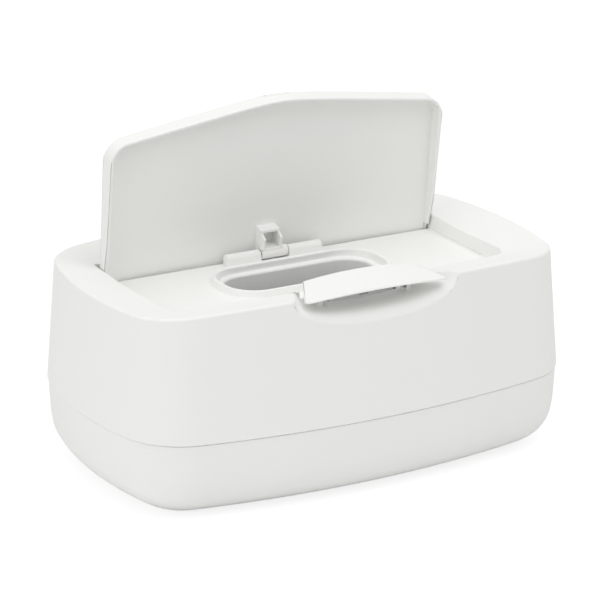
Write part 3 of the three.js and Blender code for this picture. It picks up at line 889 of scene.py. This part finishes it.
def lamp(name, place, target, size, power):
    """A square soft lamp that faces a point."""
    data = bpy.data.lights.new(name, "AREA")
    data.shape = "SQUARE"
    data.size = size
    data.energy = power
    light = bpy.data.objects.new(name, data)
    light.location = place
    light.rotation_mode = "QUATERNION"
    light.rotation_quaternion = (Vector(target) - Vector(place)).to_track_quat("-Z", "Y")
    bpy.context.scene.collection.objects.link(light)


def camera(stage):
    """The camera at the photograph's angle."""
    turn, rise = math.radians(stage.azimuth), math.radians(stage.elevation)
    back = Vector((math.sin(turn) * math.cos(rise), -math.cos(turn) * math.cos(rise), math.sin(rise)))
    data = bpy.data.cameras.new("camera")
    data.lens = stage.lens
    data.shift_x, data.shift_y = CAMERA_SHIFT
    eye = bpy.data.objects.new("camera", data)
    eye.location = CAMERA_TARGET + back * stage.distance
    eye.rotation_mode = "QUATERNION"
    lean = Quaternion((0.0, 0.0, 1.0), math.radians(stage.roll))
    eye.rotation_quaternion = back.to_track_quat("Z", "Y") @ lean
    bpy.context.scene.collection.objects.link(eye)
    bpy.context.scene.camera = eye


# Operators

class WIPESBOX_OT_base_tray(bpy.types.Operator):
    """Builds the lower shell."""

    bl_idname = "wipesbox.base_tray"
    bl_label = "Base tray"

    def execute(self, context):
        scene = context.scene
        piece = soften(base_tray(scene.box_body), scene.box_finishes, "base_tray_shell")
        dress(piece, finished("white_plastic", white_plastic), "base", "base_tray")
        return {"FINISHED"}


class WIPESBOX_OT_upper_housing(bpy.types.Operator):
    """Builds the upper shell with its collar, scoop and hinge barrels."""

    bl_idname = "wipesbox.upper_housing"
    bl_label = "Upper housing"

    def execute(self, context):
        scene = context.scene
        shell = upper_housing(scene.box_body, scene.box_lid, scene.box_slot, scene.box_paddle)
        piece = soften(shell, scene.box_finishes, "upper_housing_shell")
        dress(piece, finished("white_plastic", white_plastic), "top", "upper_housing")
        return {"FINISHED"}


class WIPESBOX_OT_lid(bpy.types.Operator):
    """Builds the lid, standing open."""

    bl_idname = "wipesbox.lid"
    bl_label = "Lid"

    def execute(self, context):
        scene = context.scene
        marks = [ejector_ring(x, y, scene.box_lid) for x, y in MARK_PLACES]
        piece = soften(open_lid(scene.box_lid), scene.box_finishes, "lid_moulding", marks)
        dress(piece, finished("white_plastic", white_plastic), "lid", "lid")
        return {"FINISHED"}


class WIPESBOX_OT_paddle(bpy.types.Operator):
    """Builds the push paddle."""

    bl_idname = "wipesbox.paddle"
    bl_label = "Push paddle"

    def execute(self, context):
        scene = context.scene
        piece = soften(push_paddle(scene.box_paddle), scene.box_finishes, "push_paddle_moulding")
        dress(piece, finished("white_plastic", white_plastic), "paddle", "push_paddle")
        return {"FINISHED"}


class WIPESBOX_OT_pins(bpy.types.Operator):
    """Builds the two steel pins."""

    bl_idname = "wipesbox.pins"
    bl_label = "Pins"

    def execute(self, context):
        steel_piece(pin("lid_pin_rod", LID_PIN_LOW, LID_PIN_HIGH, LID_AXIS), "lid_hinge_pin")
        steel_piece(pin("paddle_pin_rod", PADDLE_PIN_LOW, PADDLE_PIN_HIGH, PADDLE_AXIS), "paddle_pivot_pin")
        return {"FINISHED"}


class WIPESBOX_OT_springs(bpy.types.Operator):
    """Builds the two wire springs."""

    bl_idname = "wipesbox.springs"
    bl_label = "Springs"

    def execute(self, context):
        lid_wire = spring("lid_spring_wire", LID_AXIS, wire=0.3 * MM, radius=2.0 * MM, turns=5.25,
                          spread=6 * MM, leg=0.25 * MM)
        steel_piece(lid_wire, "lid_spring")
        paddle_wire = spring("paddle_spring_wire", PADDLE_AXIS, wire=0.22 * MM, radius=1.6 * MM, turns=5.25,
                             spread=5 * MM, leg=1.5 * MM)
        steel_piece(paddle_wire, "paddle_spring")
        return {"FINISHED"}


class WIPESBOX_OT_stage(bpy.types.Operator):
    """Builds the floor, the light and the camera."""

    bl_idname = "wipesbox.stage"
    bl_label = "Stage"

    def execute(self, context):
        stage = context.scene.box_stage
        solid = bmesh.new()
        bmesh.ops.create_grid(solid, x_segments=1, y_segments=1, size=6.0)
        floor = place_solid("floor", solid)
        floor.data.materials.append(floor_material(context.scene.box_finishes))
        white_surround(stage.fill)
        lamp("overhead", (-0.1, 0.1, 1.5), (0.0, 0.0, 0.05), 1.3, stage.overhead)
        lamp("left_side", (-1.5, -0.3, 0.6), (0.0, 0.0, 0.06), 0.9, stage.side)
        lamp("high_front", (0.35, -0.75, 1.3), (0.0, 0.0, 0.05), 1.0, stage.front)
        camera(stage)
        return {"FINISHED"}


STEPS = ("base_tray", "upper_housing", "lid", "paddle", "pins", "springs", "stage")


class WIPESBOX_PT_panel(bpy.types.Panel):
    """Sizes, colours and building steps of the wipes box."""

    bl_idname = "WIPESBOX_PT_panel"
    bl_label = "Wipes box"
    bl_space_type = "VIEW_3D"
    bl_region_type = "UI"
    bl_category = "Wipes box"

    def draw(self, context):
        for group in GROUPS:
            settings = getattr(context.scene, group)
            for field in settings.bl_rna.properties:
                if field.identifier not in ("rna_type", "name"):
                    self.layout.prop(settings, field.identifier)
        for step in STEPS:
            self.layout.operator("wipesbox." + step)


GROUPS = {
    "box_body": BodySizes,
    "box_lid": LidSizes,
    "box_slot": SlotSizes,
    "box_paddle": PaddleSizes,
    "box_finishes": Finishes,
    "box_stage": StageSizes,
}
CLASSES = (
    *GROUPS.values(),
    WIPESBOX_OT_base_tray,
    WIPESBOX_OT_upper_housing,
    WIPESBOX_OT_lid,
    WIPESBOX_OT_paddle,
    WIPESBOX_OT_pins,
    WIPESBOX_OT_springs,
    WIPESBOX_OT_stage,
    WIPESBOX_PT_panel,
)


def register():
    """Adds the classes and the scene's settings."""
    for cls in CLASSES:
        bpy.utils.register_class(cls)
    for name, group in GROUPS.items():
        setattr(bpy.types.Scene, name, PointerProperty(type=group))


def unregister():
    """Removes them again."""
    for name in GROUPS:
        delattr(bpy.types.Scene, name)
    for cls in reversed(CLASSES):
        bpy.utils.unregister_class(cls)


def main():
    """Builds the box."""
    register()
    bpy.context.scene.view_settings.view_transform = "Standard"
    for step in STEPS:
        getattr(bpy.ops.wipesbox, step)()


if __name__ == "__main__":
    main()
